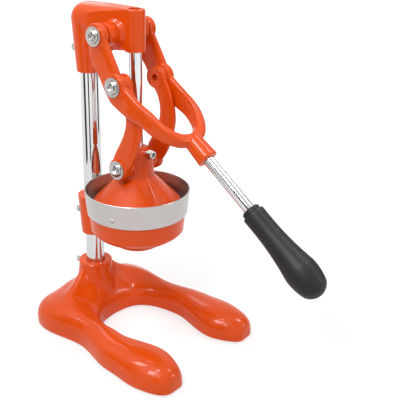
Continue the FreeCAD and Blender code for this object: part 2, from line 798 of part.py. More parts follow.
def build_handle():
    handle_turned("handle_rod", [
        ("0", "-thread_length"),
        ("thread_dia / 2 - 1", "-thread_length"),
        ("thread_dia / 2", "1 - thread_length"),
        ("thread_dia / 2", "face_gap"),
        ("rod_dia / 2", "face_gap"),
        ("rod_dia / 2", "rod_bare + tang_depth - 1"),
        ("rod_dia / 2 - 1", "rod_bare + tang_depth"),
        ("0", "rod_bare + tang_depth"),
    ])
    far = "rod_bare + grip_length"
    handle_turned("handle_grip", [
        ("rod_dia / 2 + seat_gap", "rod_bare"),
        ("grip_collar_dia / 2 - 1.5", "rod_bare"),
        ("grip_collar_dia / 2", "rod_bare + 1.5"),
        ("grip_collar_dia / 2", "rod_bare + 4.5"),
        ("grip_neck_dia / 2 + 0.4", "rod_bare + 6"),
        ("grip_neck_dia / 2 + 0.6", "rod_bare + 9"),
        ("grip_bulge_dia / 2", far + " - 32", "grip_neck_dia / 2 + 1.1", "rod_bare + grip_length * 0.38"),
        ("grip_bulge_dia * 0.41", far + " - grip_cap", "grip_bulge_dia * 0.487", far + " - grip_cap - 11"),
        dome_cap("grip_bulge_dia * 0.41", "grip_cap", far),
        ("0", "rod_bare + tang_depth + 1"),
        ("rod_dia / 2 + seat_gap", "rod_bare + tang_depth + 1"),
    ])


# Links

def build_links():
    bow = "-link_bow"
    half = "link_width / 2"
    back = [
        ("-link_pivot_back + link_eye_dia / 2 - 3", "link_pivot_up"),
        ("-guide_offset + link_eye_dia / 2 - 3", "bell_pivot_up",
         bow + " + " + half, "(link_pivot_up + bell_pivot_up) / 2 + 5"),
    ]
    front = [
        ("-guide_offset - link_eye_dia / 2 + 0.5", "bell_pivot_up"),
        ("-link_pivot_back - link_eye_dia / 2 + 0.5", "link_pivot_up",
         bow + " - " + half, "(link_pivot_up + bell_pivot_up) / 2 + 5"),
    ]
    depth = "arm_inner - link_gap - link_inner"
    for side, sign in SIDES.items():
        sketch = loose_sketch("link_outline_" + side, [back[0], back[1], front[0], front[1]], "YZ",
                              ("%d * (link_inner + (%s) / 2)" % (sign, depth), "0", "0"))
        web = extrude("link_web_" + side, sketch, Vector(1, 0, 0), "%s - 2 * link_web_set" % depth, True)
        parts = [soften("link_web_soft_" + side, web, "link_round", link_long_edge)]
        tools = []
        for name, along, up in (("top", "-link_pivot_back", "link_pivot_up"), ("low", "-guide_offset", "bell_pivot_up")):
            at = ("%d * link_inner" % sign, along, up)
            parts.append(cylinder("link_eye_%s_%s" % (name, side), "link_eye_dia", depth, at, toward(sign)))
            hole_at = ("%d * (link_inner - 1)" % sign, along, up)
            hole = "pivot_bolt_dia + 2 * running_gap" if name == "low" else "pivot_bolt_dia - 2"
            tools.append(cylinder("link_hole_%s_%s" % (name, side), hole, "20", hole_at, toward(sign)))
        keep("link_" + side, cut("link_" + side, fuse("link_body_" + side, parts), tools))


def link_long_edge(edge):
    """The two curved edges along the link's outer face."""
    middle = edge.valueAt((edge.FirstParameter + edge.LastParameter) / 2)
    return edge.Length > value("link_pivot_up - bell_pivot_up") * 0.9 and abs(middle.x) > value("(arm_inner + link_inner) / 2")


# Bell

def build_bell():
    inner = "bell_dia / 2 - bell_wall"
    rim = "bell_bottom + bell_rim"
    steps = [
        ("0", "neck_bottom - 6"),
        ("8", "neck_bottom - 6"),
        (inner, rim + " - 2"),
        (inner, "bell_bottom"),
        ("bell_dia / 2", "bell_bottom"),
        ("bell_dia / 2", rim),
        ("neck_dia / 2", "neck_bottom"),
        ("neck_dia / 2", "neck_shoulder"),
        ("neck_top_dia / 2", "neck_top", "neck_dia / 2 - 1.5", "neck_top - 5"),
        ("0", "neck_top"),
    ]
    at = ("0", "-guide_offset", "0")
    shell = turned("bell_shell", steps, at)
    parts = [shell]
    bolt_end = "link_inner - link_gap - bolt_thread"
    tools = [
        cylinder("bell_rod_bore", "guide_dia + 2 * seat_gap", "guide_depth + 1",
                 ("0", "-guide_offset", "neck_top - guide_depth")),
        cylinder("bell_clamp_hole", "set_screw_dia + 2 * seat_gap", "neck_dia",
                 ("0", "-guide_offset", "clamp_screw_up"), TO_FRONT),
    ]
    for side, sign in SIDES.items():
        start = ("%d * 8" % sign, "-guide_offset", "bell_pivot_up")
        parts.append(cylinder("bell_boss_" + side, "link_eye_dia - 2", "link_inner - link_gap - 8", start, toward(sign)))
        hole = ("%d * (%s - 1)" % (sign, bolt_end), "-guide_offset", "bell_pivot_up")
        tools.append(cylinder("bell_thread_" + side, "pivot_bolt_dia + 2 * seat_gap", "30", hole, toward(sign)))
    keep("press_bell", cut("press_bell", fuse("bell_body", parts), tools))


# Bowl holder, cup and strainer

def build_holder():
    low = "bowl_dia / 2 - bowl_wall"
    inside_run = [
        (low, "cup_floor"),
        (low + " - 2", "bowl_break + 2"),
        ("outlet_dia / 2", "spout_top + 2", "bowl_dia * 0.37", "spout_top + 8"),
    ]
    steps = [
        ("outlet_dia / 2", "spout_bottom"),
        ("spout_dia / 2", "spout_bottom"),
        ("spout_dia / 2", "spout_top"),
        ("bowl_dia / 2 - 2", "bowl_break", "bowl_dia * 0.40", "spout_top + 5"),
        ("bowl_dia / 2", "cup_floor"),
    ]
    on_guide = ("0", "-guide_offset", "0")
    bowl = turned("holder_bowl", steps + inside_run, on_guide)
    inside = turned("holder_inside", [
        ("0", "spout_bottom - 1"),
        ("0", "cup_floor + 1"),
        (low, "cup_floor + 1"),
    ] + inside_run + [("outlet_dia / 2", "spout_bottom - 1")], on_guide)
    collar = cone("holder_collar", "holder_collar_low_dia", "holder_collar_dia", "cup_floor - holder_collar_bottom",
                  ("0", "0", "holder_collar_bottom"))
    web_end = "-guide_offset + bowl_dia / 2 - 14"
    web_steps = [
        ("0", "cup_floor"),
        (web_end, "cup_floor"),
        (web_end, "bowl_break - 5"),
        ("0", "holder_collar_bottom + 4", "-9", "bowl_break - 16"),
    ]
    web = extrude("holder_web", loose_sketch("holder_web_side", web_steps, "YZ"), Vector(1, 0, 0),
                  "holder_collar_low_dia - 3", True)
    arm = cut("holder_arm", fuse("holder_arm_body", [collar, web]), [inside])
    body = fuse("holder_body", [bowl, arm])
    tools = [
        cylinder("holder_bore", "column_dia + 2 * seat_gap", "100", ("0", "0", "holder_collar_bottom - 5")),
        cylinder("holder_screw_hole", "set_screw_dia + 2 * seat_gap", "40", ("0", "0", "holder_screw_up"), TO_BACK),
    ]
    keep("bowl_holder", cut("bowl_holder", body, tools))


def build_cup():
    wall = "cup_dia / 2 - cup_sheet"
    seat = "bowl_dia / 2 - bowl_wall - 0.8"
    steps = [
        ("cup_dia / 2", "cup_floor"),
        ("cup_dia / 2", "cup_rim - 0.4"),
        (wall, "cup_rim - 0.4", "cup_dia / 2 - cup_sheet / 2", "cup_rim"),
        (wall, "cup_floor + cup_sheet"),
        (seat + " - cup_sheet", "cup_floor + cup_sheet"),
        (seat + " - cup_sheet - 2.7", "bowl_break + 4"),
        ("outlet_dia / 2 - 1 - cup_sheet", "spout_top + 6.3"),
        ("outlet_dia / 2 - 1 - cup_sheet", "spout_bottom + 1"),
        ("outlet_dia / 2 - 1", "spout_bottom + 1"),
        ("outlet_dia / 2 - 1", "spout_top + 5.4"),
        (seat + " - 2.7", "bowl_break + 3"),
        (seat, "cup_floor"),
    ]
    keep("strainer_cup", turned("strainer_cup", steps, ("0", "-guide_offset", "0")))


STRAINER_EDGE = "(bowl_dia / 2 - bowl_wall - 0.8 - cup_sheet + strainer_lap)"


def build_strainer():
    """Reamer cone on a slotted plate that rests on the cup's floor."""
    plate = "cup_floor + cup_sheet"
    top = plate + " + strainer_plate"
    steps = [
        ("0", "reamer_top - 2"),
        ("reamer_dia / 2 - 3", top + " - 2"),
        ("reamer_dia / 2 - 3", plate),
        (STRAINER_EDGE, plate),
        (STRAINER_EDGE, top),
        ("reamer_dia / 2", top),
        ("reamer_dia / 2 - 1.5", top + " + 3"),
        ("5", "reamer_top - 2"),
        dome_cap("5", "2", "reamer_top"),
    ]
    body = turned("strainer_cone", steps, ("0", "-guide_offset", "0"))
    slot = body_sketch(body, "strainer_slot", "XY_Plane", top)
    near = "reamer_dia / 2 + 2.5"
    far = STRAINER_EDGE + " - 6"
    draw(slot, [(near, "1"), (near, "-1"), (far, "-1"), (far, "1")])
    first = pocket(body, "strainer_slot_cut", slot, "strainer_plate + 1")
    ring_of_slots = body.newObject("PartDesign::PolarPattern", "strainer_slots_ring")
    ring_of_slots.Originals = [first]
    ring_of_slots.Axis = (slot, ["N_Axis"])
    ring_of_slots.Angle = 360
    bind(ring_of_slots, "Occurrences", "strainer_slots")
    body.Tip = ring_of_slots
    keep("strainer_cone", body)


for build in (build_base, build_pads, build_column, build_guide_rod, build_head, build_pivots, build_set_screws,
              build_fork, build_handle, build_links, build_bell, build_holder, build_cup, build_strainer):
    build()
    doc.recompute()

# Checks on every object before anything is written
for item in doc.Objects:
    if "Invalid" in item.State or "Error" in item.State:
        raise RuntimeError("object failed: %s %s" % (item.Label, item.State))
for name, item in pieces.items():
    if item.Shape.isNull() or not item.Shape.isValid():
        raise RuntimeError("bad shape: " + name)

os.makedirs("parts", exist_ok=True)
for name, item in pieces.items():
    item.Shape.exportStep("parts/%s.step" % name)
print("%d nodes written" % len(pieces))
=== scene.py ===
import logging
import math
from dataclasses import dataclass, field
from enum import Enum
from typing import Callable, Iterable, Optional, Protocol, Sequence, TypeVar

import bmesh
import bpy
from mathutils import Matrix, Vector


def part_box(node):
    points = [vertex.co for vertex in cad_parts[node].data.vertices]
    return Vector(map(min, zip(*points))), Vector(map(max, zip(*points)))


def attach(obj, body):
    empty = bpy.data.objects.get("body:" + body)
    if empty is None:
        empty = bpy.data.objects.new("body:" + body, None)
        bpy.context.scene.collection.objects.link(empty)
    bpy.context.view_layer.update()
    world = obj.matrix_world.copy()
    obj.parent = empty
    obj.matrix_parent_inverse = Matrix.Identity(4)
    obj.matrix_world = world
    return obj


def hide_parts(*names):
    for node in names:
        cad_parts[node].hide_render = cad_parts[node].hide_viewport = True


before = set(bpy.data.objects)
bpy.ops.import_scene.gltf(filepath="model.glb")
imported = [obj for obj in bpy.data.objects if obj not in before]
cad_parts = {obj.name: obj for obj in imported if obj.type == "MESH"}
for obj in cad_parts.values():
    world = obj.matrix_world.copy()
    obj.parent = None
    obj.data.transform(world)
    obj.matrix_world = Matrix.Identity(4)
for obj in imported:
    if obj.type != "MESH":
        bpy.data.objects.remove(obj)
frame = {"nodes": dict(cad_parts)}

log = logging.getLogger("press")

MM = 0.001

# The colour sockets of a mix node
COLOUR_A = 6
COLOUR_B = 7
COLOUR_OUT = 2

# The part of a noise's range that its cells mostly fill
CELLS = {"From Min": 0.3, "From Max": 0.7}

Colour = tuple[float, float, float, float]
Place = tuple[float, float, float]
Rows = tuple[tuple[float, ...], ...]
Amount = TypeVar("Amount", float, Vector)


# Colour and shader helpers


def linear(hex_colour: str) -> Colour:
    """Turn an sRGB hex colour into linear light.

    Args:
        hex_colour: six hex digits with a leading hash.

    Returns:
        Red, green, blue and an alpha of one.
    """
    digits = hex_colour.lstrip("#")
    channels = [int(digits[start:start + 2], 16) / 255 for start in (0, 2, 4)]
    light = [c / 12.92 if c <= 0.04045 else ((c + 0.055) / 1.055) ** 2.4 for c in channels]
    return (light[0], light[1], light[2], 1.0)


def add_node(
    tree: bpy.types.NodeTree,
    kind: str,
    settings: Optional[dict] = None,
    links: Optional[dict] = None,
) -> bpy.types.Node:
    """Add one shader node with its settings, socket values and incoming links.

    Args:
        tree: the node tree that takes the node.
        kind: Blender's name for the node type.
        settings: node attributes, or input sockets where the name is one of theirs or a number.
        links: input socket to the output socket that feeds it.

    Returns:
        The new node.
    """
    node = tree.nodes.new(kind)
    for name, value in (settings or {}).items():
        if isinstance(name, int) or name in node.inputs:
            node.inputs[name].default_value = value
        else:
            setattr(node, name, value)
    for name, source in (links or {}).items():
        tree.links.new(source, node.inputs[name])
    return node


class Finish(Protocol):
    """Anything that can make a Blender material."""

    def material(self) -> bpy.types.Material:
        """Make the material."""


def empty_material(name: str) -> tuple[bpy.types.Material, bpy.types.Node]:
    """Make a material with an empty tree.

    Args:
        name: the material's name.

    Returns:
        The material and its output node.
    """
    made = bpy.data.materials.new(name)
    made.use_nodes = True
    made.node_tree.nodes.clear()
    return made, add_node(made.node_tree, "ShaderNodeOutputMaterial")


def grain(
    tree: bpy.types.NodeTree,
    size_mm: float,
    stretch: Sequence[float] = (1, 1, 1),
    detail: float = 2.0,
) -> bpy.types.NodeSocket:
    """Noise in the object's own space whose cells are about a given size.

    Args:
        tree: the material's node tree.
        size_mm: distance from one light patch to the next.
        stretch: how many times longer the cells are along each axis.
        detail: finer octaves on top of the main one.

    Returns:
        The noise's factor socket.
    """
    place = add_node(tree, "ShaderNodeTexCoord")
    sized = add_node(
        tree,
        "ShaderNodeMapping",
        {"Scale": tuple(1 / (size_mm * MM * long) for long in stretch)},
        {"Vector": place.outputs["Object"]},
    )
    cells = {"Scale": 1.0, "Detail": detail}
    noise = add_node(tree, "ShaderNodeTexNoise", cells, {"Vector": sized.outputs["Vector"]})
    return noise.outputs["Fac"]


# Finishes


@dataclass(frozen=True)
class CastingEnamel:
    """Oven-baked orange enamel sprayed on cast metal.

    Under a thin clear gloss it shows small sharp highlights, a faint orange-peel ripple, and a slightly
    deeper colour in broad patches where the coat is thicker.
    """

    name: str = "orange_enamel"
    thin_coat: str = "#E65200"
    thick_coat: str = "#DA4800"
    peel_mm: float = 2.2
    peel_deep_mm: float = 0.02
    peel_strength: float = 0.10
    patch_mm: float = 60.0

    def material(self) -> bpy.types.Material:
        """Make the enamel."""
        made, out = empty_material(self.name)
        tree = made.node_tree
        coat = {"data_type": "RGBA", COLOUR_A: linear(self.thick_coat), COLOUR_B: linear(self.thin_coat)}
        colour = add_node(tree, "ShaderNodeMix", coat, {"Factor": grain(tree, self.patch_mm)})
        peel = {"Strength": self.peel_strength, "Distance": self.peel_deep_mm * MM}
        ripple = add_node(tree, "ShaderNodeBump", peel, {"Height": grain(tree, self.peel_mm)})
        settings = {
            "Roughness": 0.38,
            "IOR": 1.5,
            "Specular IOR Level": 0.12,
            "Coat Weight": 0.35,
            "Coat Roughness": 0.04,
            "Coat IOR": 1.5,
        }
        links = {"Base Color": colour.outputs[COLOUR_OUT], "Normal": ripple.outputs["Normal"]}
        shader = add_node(tree, "ShaderNodeBsdfPrincipled", settings, links)
        tree.links.new(shader.outputs["BSDF"], out.inputs["Surface"])
        return made


@dataclass(frozen=True)
class ChromedBar:
    """Bright chrome plate on drawn and ground steel bar.

    It mirrors the studio, with very fine lengthwise grinding lines that break up the reflections
    a little. The lines are drawn coarser than real ones, so that they show.
    """

    name: str = "chromed_bar"
    bright: str = "#D8D8D8"
    shade: str = "#C8C8C9"
    line_mm: float = 0.5
    line_long: float = 60
    line_deep_mm: float = 0.01
    line_strength: float = 0.05
    cloud_mm: float = 9.0
    roughness: tuple[float, float] = (0.03, 0.07)

    def material(self) -> bpy.types.Material:
        """Make the chrome."""
        made, out = empty_material(self.name)
        tree = made.node_tree
        lines = grain(tree, self.line_mm, (1, 1, self.line_long))
        plate = {"data_type": "RGBA", COLOUR_A: linear(self.shade), COLOUR_B: linear(self.bright)}
        colour = add_node(tree, "ShaderNodeMix", plate, {"Factor": lines})
        dull = {**CELLS, "To Min": self.roughness[0], "To Max": self.roughness[1]}
        gloss = add_node(tree, "ShaderNodeMapRange", dull, {"Value": grain(tree, self.cloud_mm)})
        cut = {"Strength": self.line_strength, "Distance": self.line_deep_mm * MM}
        ground = add_node(tree, "ShaderNodeBump", cut, {"Height": lines})
        links = {
            "Base Color": colour.outputs[COLOUR_OUT],
            "Roughness": gloss.outputs["Result"],
            "Normal": ground.outputs["Normal"],
        }
        shader = add_node(tree, "ShaderNodeBsdfPrincipled", {"Metallic": 1.0}, links)
        tree.links.new(shader.outputs["BSDF"], out.inputs["Surface"])
        return made


@dataclass(frozen=True)
class PlatedFastener:
    """Nickel-plated steel screws and washers.

    Slightly warmer and softer than the chrome bars, with small handling marks.
    """

    name: str = "plated_fastener"
    bright: str = "#C9C6C3"
    shade: str = "#A5A3A1"
    mark_mm: float = 1.5
    roughness: tuple[float, float] = (0.14, 0.26)

    def material(self) -> bpy.types.Material:
        """Make the plating."""
        made, out = empty_material(self.name)
        tree = made.node_tree
        marks = grain(tree, self.mark_mm)
        plate = {"data_type": "RGBA", COLOUR_A: linear(self.shade), COLOUR_B: linear(self.bright)}
        colour = add_node(tree, "ShaderNodeMix", plate, {"Factor": marks})
        dull = {**CELLS, "To Min": self.roughness[0], "To Max": self.roughness[1]}
        gloss = add_node(tree, "ShaderNodeMapRange", dull, {"Value": marks})
        links = {"Base Color": colour.outputs[COLOUR_OUT], "Roughness": gloss.outputs["Result"]}
        shader = add_node(tree, "ShaderNodeBsdfPrincipled", {"Metallic": 1.0}, links)
        tree.links.new(shader.outputs["BSDF"], out.inputs["Surface"])
        return made


@dataclass(frozen=True)
class BrushedSheet:
    """Stainless sheet brushed round the cup on a lathe.

    Fine level lines run round the band and smear its reflections up and down. They are drawn about
    three times coarser than real ones, so that they show.
    """

    name: str = "brushed_sheet"
    bright: str = "#CDC8C5"
    shade: str = "#ADA8A5"
    line_mm: float = 0.45
    line_long: float = 80
    line_detail: float = 3.0
    line_deep_mm: float = 0.02
    line_strength: float = 0.15
    roughness: tuple[float, float] = (0.26, 0.38)

    def material(self) -> bpy.types.Material:
        """Make the brushed steel."""
        made, out = empty_material(self.name)
        tree = made.node_tree
        lines = grain(tree, self.line_mm, (self.line_long, self.line_long, 1), self.line_detail)
        sheet = {"data_type": "RGBA", COLOUR_A: linear(self.shade), COLOUR_B: linear(self.bright)}
        colour = add_node(tree, "ShaderNodeMix", sheet, {"Factor": lines})
        dull = {**CELLS, "To Min": self.roughness[0], "To Max": self.roughness[1]}
        gloss = add_node(tree, "ShaderNodeMapRange", dull, {"Value": lines})
        cut = {"Strength": self.line_strength, "Distance": self.line_deep_mm * MM}
        brush = add_node(tree, "ShaderNodeBump", cut, {"Height": lines})
        links = {
            "Base Color": colour.outputs[COLOUR_OUT],
            "Roughness": gloss.outputs["Result"],
            "Normal": brush.outputs["Normal"],
        }
        shader = add_node(tree, "ShaderNodeBsdfPrincipled", {"Metallic": 1.0}, links)
        tree.links.new(shader.outputs["BSDF"], out.inputs["Surface"])
        return made


@dataclass(frozen=True)
class GripPlastic:
    """Charcoal plastic moulded in a spark-eroded tool.

    The fine grain of the mould breaks the highlight into a soft grey sheen. It is drawn at twice its
    real size, so that it shows.
    """

    name: str = "moulded_grip"
    light: str = "#1E1E1F"
    dark: str = "#161617"
    spark_mm: float = 0.7
    spark_deep_mm: float = 0.06
    spark_strength: float = 0.35
    roughness: tuple[float, float] = (0.44, 0.56)

    def material(self) -> bpy.types.Material:
        """Make the plastic."""
        made, out = empty_material(self.name)
        tree = made.node_tree
        spark = grain(tree, self.spark_mm)
        resin = {"data_type": "RGBA", COLOUR_A: linear(self.dark), COLOUR_B: linear(self.light)}
        colour = add_node(tree, "ShaderNodeMix", resin, {"Factor": spark})
        dull = {**CELLS, "To Min": self.roughness[0], "To Max": self.roughness[1]}
        gloss = add_node(tree, "ShaderNodeMapRange", dull, {"Value": spark})
        sunk = {"Strength": self.spark_strength, "Distance": self.spark_deep_mm * MM}
        pits = add_node(tree, "ShaderNodeBump", sunk, {"Height": spark})
        links = {
            "Base Color": colour.outputs[COLOUR_OUT],
            "Roughness": gloss.outputs["Result"],
            "Normal": pits.outputs["Normal"],
        }
        settings = {"IOR": 1.49, "Specular IOR Level": 0.3}
        shader = add_node(tree, "ShaderNodeBsdfPrincipled", settings, links)
        tree.links.new(shader.outputs["BSDF"], out.inputs["Surface"])
        return made


@dataclass(frozen=True)
class PadRubber:
    """Black rubber pressed into pads: a dull, slightly dusty surface."""

    name: str = "pad_rubber"
    light: str = "#2A2A2B"
    dark: str = "#1C1C1D"
    dust_mm: float = 3.0
    roughness: tuple[float, float] = (0.7, 0.85)

    def material(self) -> bpy.types.Material:
        """Make the rubber."""
        made, out = empty_material(self.name)
        tree = made.node_tree
        dust = grain(tree, self.dust_mm)
        rubber = {"data_type": "RGBA", COLOUR_A: linear(self.dark), COLOUR_B: linear(self.light)}
        colour = add_node(tree, "ShaderNodeMix", rubber, {"Factor": dust})
        dull = {**CELLS, "To Min": self.roughness[0], "To Max": self.roughness[1]}
        gloss = add_node(tree, "ShaderNodeMapRange", dull, {"Value": dust})
        links = {"Base Color": colour.outputs[COLOUR_OUT], "Roughness": gloss.outputs["Result"]}
        shader = add_node(tree, "ShaderNodeBsdfPrincipled", {"IOR": 1.52}, links)
        tree.links.new(shader.outputs["BSDF"], out.inputs["Surface"])
        return made


@dataclass(frozen=True)
class CastStrainer:
    """Tumbled die-cast aluminium of the strainer: satin grey with a soft mottled grain."""

    name: str = "cast_strainer"
    light: str = "#A6A29E"
    dark: str = "#86827E"
    mottle_mm: float = 1.2
    mottle_deep_mm: float = 0.03
    mottle_strength: float = 0.2
    roughness: tuple[float, float] = (0.36, 0.5)

    def material(self) -> bpy.types.Material:
        """Make the aluminium."""
        made, out = empty_material(self.name)
        tree = made.node_tree
        mottle = grain(tree, self.mottle_mm)
        metal = {"data_type": "RGBA", COLOUR_A: linear(self.dark), COLOUR_B: linear(self.light)}
        colour = add_node(tree, "ShaderNodeMix", metal, {"Factor": mottle})
        dull = {**CELLS, "To Min": self.roughness[0], "To Max": self.roughness[1]}
        gloss = add_node(tree, "ShaderNodeMapRange", dull, {"Value": mottle})
        sunk = {"Strength": self.mottle_strength, "Distance": self.mottle_deep_mm * MM}
        pitted = add_node(tree, "ShaderNodeBump", sunk, {"Height": mottle})
        links = {
            "Base Color": colour.outputs[COLOUR_OUT],
            "Roughness": gloss.outputs["Result"],
            "Normal": pitted.outputs["Normal"],
        }
        shader = add_node(tree, "ShaderNodeBsdfPrincipled", {"Metallic": 1.0}, links)
        tree.links.new(shader.outputs["BSDF"], out.inputs["Surface"])
        return made


class Look(Enum):
    """The finishes that the press is made in."""

    ENAMEL = CastingEnamel()
    CHROME = ChromedBar()
    FASTENER = PlatedFastener()
    SHEET = BrushedSheet()
    GRIP = GripPlastic()
    RUBBER = PadRubber()
    STRAINER = CastStrainer()


@dataclass
class FinishRack:
    """Makes each finish once and hands it out."""

    made: dict[Look, bpy.types.Material] = field(default_factory=dict)

    def get(self, look: Look) -> bpy.types.Material:
        """Give the material of a look, made on first use."""
        if look not in self.made:
            finish: Finish = look.value
            self.made[look] = finish.material()
        return self.made[look]

    def dress(self, nodes: Iterable[str], look: Look) -> None:
        """Put a finish on carried-over nodes.

        Args:
            nodes: the nodes' names.
            look: the finish that they take.
        """
        for name in nodes:
            mesh = frame["nodes"][name].data
            mesh.materials.clear()
            mesh.materials.append(self.get(look))
            log.info("%s takes %s", name, look.name.lower())

    def stand_in(
        self,
        piece: bpy.types.Object,
        nodes: Sequence[str],
        body: str,
        slot: str,
        look: Look,
    ) -> None:
        """Finish a new piece, hang it on its body and let it stand for nodes.

        Args:
            piece: the new piece.
            nodes: the nodes that it replaces; none for a piece that is added.
            body: the body that it moves with.
            slot: not used.
            look: its finish.
        """
        piece.data.materials.clear()
        piece.data.materials.append(self.get(look))
        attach(piece, body)
        if nodes:
            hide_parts(*nodes)
        log.info("%s rides on %s in %s", piece.name, body, look.name.lower())


def both(stem: str) -> list[str]:
    """The left and right node of a pair."""
    return [stem + "_left", stem + "_right"]


# Mesh helpers


@dataclass(frozen=True)
class Section:
    """One station of a cast bar, in millimetres."""

    middle: Vector
    across: Vector
    upright: Vector
    wide: float
    tall: float

    def outline(self, squareness: float, points: int = 28) -> list[Vector]:
        """Points round the section, a rounded rectangle.

        Args:
            squareness: two is an ellipse, and more is squarer.
            points: how many points go round it.

        Returns:
            The points, in millimetres.
        """
        ring = []
        for step in range(points):
            turn = 2 * math.pi * step / points
            side, rise = math.cos(turn), math.sin(turn)
            out = math.copysign(abs(side) ** (2 / squareness), side) * self.wide / 2
            up = math.copysign(abs(rise) ** (2 / squareness), rise) * self.tall / 2
            ring.append(self.middle + self.across * out + self.upright * up)
        return ring


def between(before: Amount, start: Amount, end: Amount, after: Amount, share: float) -> Amount:
    """Follow a smooth curve through four values.

    Args:
        before: the value before the start.
        start: where the share is zero.
        end: where the share is one.
        after: the value after the end.
        share: how far to go from the start to the end.

    Returns:
        The value there.
    """
    lead = share * (1 - share) ** 2 / 2
    trail = share ** 2 * (1 - share) / 2
    straight = start + (end - start) * share
    return straight + (start * 2 - before - end) * lead + (end * 2 - start - after) * trail


def flowing(stations: Sequence[Section], parts: int) -> list[Section]:
    """Fill in between stations along a smooth curve through them.

    Args:
        stations: the sections that the curve passes.
        parts: steps from one station to the next.

    Returns:
        All the sections.
    """
    last = len(stations) - 1
    steps = []
    for spot in range(last):
        four = [stations[max(0, min(last, spot + shift))] for shift in (-1, 0, 1, 2)]
        start, end = four[1], four[2]
        for part in range(parts):
            share = part / parts
            steps.append(Section(
                between(*(station.middle for station in four), share),
                start.across.lerp(end.across, share).normalized(),
                start.upright.lerp(end.upright, share).normalized(),
                between(*(station.wide for station in four), share),
                between(*(station.tall for station in four), share),
            ))
    steps.append(stations[last])
    return steps


def add_loft(shell: bmesh.types.BMesh, rings: Sequence[Sequence[Vector]]) -> None:
    """Skin a row of rings and close its ends.

    Args:
        shell: the mesh that takes the skin.
        rings: rings of points in millimetres, each with as many points.
    """
    rows = [[shell.verts.new(point * MM) for point in ring] for ring in rings]
    count = len(rows[0])
    for low, high in zip(rows, rows[1:]):
        for spot in range(count):
            after = (spot + 1) % count
            shell.faces.new((low[spot], low[after], high[after], high[spot]))
    shell.faces.new(list(reversed(rows[0])))
    shell.faces.new(rows[-1])


def add_turned(
    shell: bmesh.types.BMesh,
    place: Matrix,
    outline: Sequence[tuple[float, float]],
    points: int = 48,
) -> None:
    """Turn a closed solid about the z axis of a place.

    Args:
        shell: the mesh that takes it.
        place: where the axis is, with its origin in millimetres.
        outline: radius and height pairs from one end to the other.
        points: how many points go round.
    """
    turns = [2 * math.pi * step / points for step in range(points)]
    rings = []
    for radius, height in outline:
        spots = (Vector((radius * math.cos(turn), radius * math.sin(turn), height)) for turn in turns)
        rings.append([place @ spot for spot in spots])
    add_loft(shell, rings)


def aimed(origin: Vector, direction: Vector) -> Matrix:
    """A place at an origin whose z axis points along a direction."""
    return Matrix.Translation(origin) @ direction.to_track_quat("Z", "Y").to_matrix().to_4x4()


def object_of(mesh: bpy.types.Mesh, name: str) -> bpy.types.Object:
    """Put a mesh into the scene as an object."""
    piece = bpy.data.objects.new(name, mesh)
    bpy.context.scene.collection.objects.link(piece)
    return piece


def piece_from(shell: bmesh.types.BMesh, name: str) -> bpy.types.Object:
    """Turn a working mesh into an object of the scene.

    Args:
        shell: the working mesh, which is freed.
        name: the piece's name.

    Returns:
        The object.
    """
    bmesh.ops.recalc_face_normals(shell, faces=shell.faces)
    mesh = bpy.data.meshes.new(name)
    shell.to_mesh(mesh)
    shell.free()
    return object_of(mesh, name)


def smooth(mesh: bpy.types.Mesh, crease_deg: float) -> None:
    """Shade a mesh smooth, with the edges that turn by more than an angle kept sharp."""
    mesh.shade_smooth()
    mesh.set_sharp_from_angle(angle=math.radians(crease_deg))


def reshaped(
    node: str,
    name: str,
    move: Callable[[Vector], Vector],
    crease_deg: float = 28.0,
) -> bpy.types.Object:
    """Make a corrected copy of a carried-over node.

    Args:
        node: the node that it starts from.
        name: the new piece's name.
        move: gives each point's new place, in millimetres.
        crease_deg: edges that turn by more than this stay sharp.

    Returns:
        The new piece.
    """
    mesh = frame["nodes"][node].data.copy()
    for vertex in mesh.vertices:
        vertex.co = move(vertex.co / MM) * MM
    smooth(mesh, crease_deg)
    return object_of(mesh, name)


def settle(piece: bpy.types.Object) -> None:
    """Apply a piece's modifiers."""
    graph = bpy.context.evaluated_depsgraph_get()
    finished = bpy.data.meshes.new_from_object(piece.evaluated_get(graph))
    piece.modifiers.clear()
    piece.data = finished


def cast_together(piece: bpy.types.Object, cell_mm: float, rounds: int) -> None:
    """Melt overlapping closed shells into one casting with soft inside corners.

    Args:
        piece: the object that holds the shells.
        cell_mm: size of the cells that it is remade from.
        rounds: how often the surface is evened out.
    """
    melt = piece.modifiers.new("melt", "REMESH")
    melt.mode = "VOXEL"
    melt.voxel_size = cell_mm * MM
    even = piece.modifiers.new("even", "SMOOTH")
    even.factor = 0.5
    even.iterations = rounds
    settle(piece)


def drill(piece: bpy.types.Object, bores: Sequence[tuple[Matrix, float, float]]) -> None:
    """Cut round holes into a piece.

    Args:
        piece: the object that is drilled.
        bores: for each hole its start with its axis along z, its radius and its depth.
    """
    tools = bmesh.new()
    for place, radius, depth in bores:
        add_turned(tools, place, ((radius, 0.0), (radius, depth)))
    cutter = piece_from(tools, piece.name + "_drills")
    hole = piece.modifiers.new("drill", "BOOLEAN")
    hole.operation = "DIFFERENCE"
    hole.solver = "EXACT"
    hole.object = cutter
    settle(piece)
    bpy.data.objects.remove(cutter)


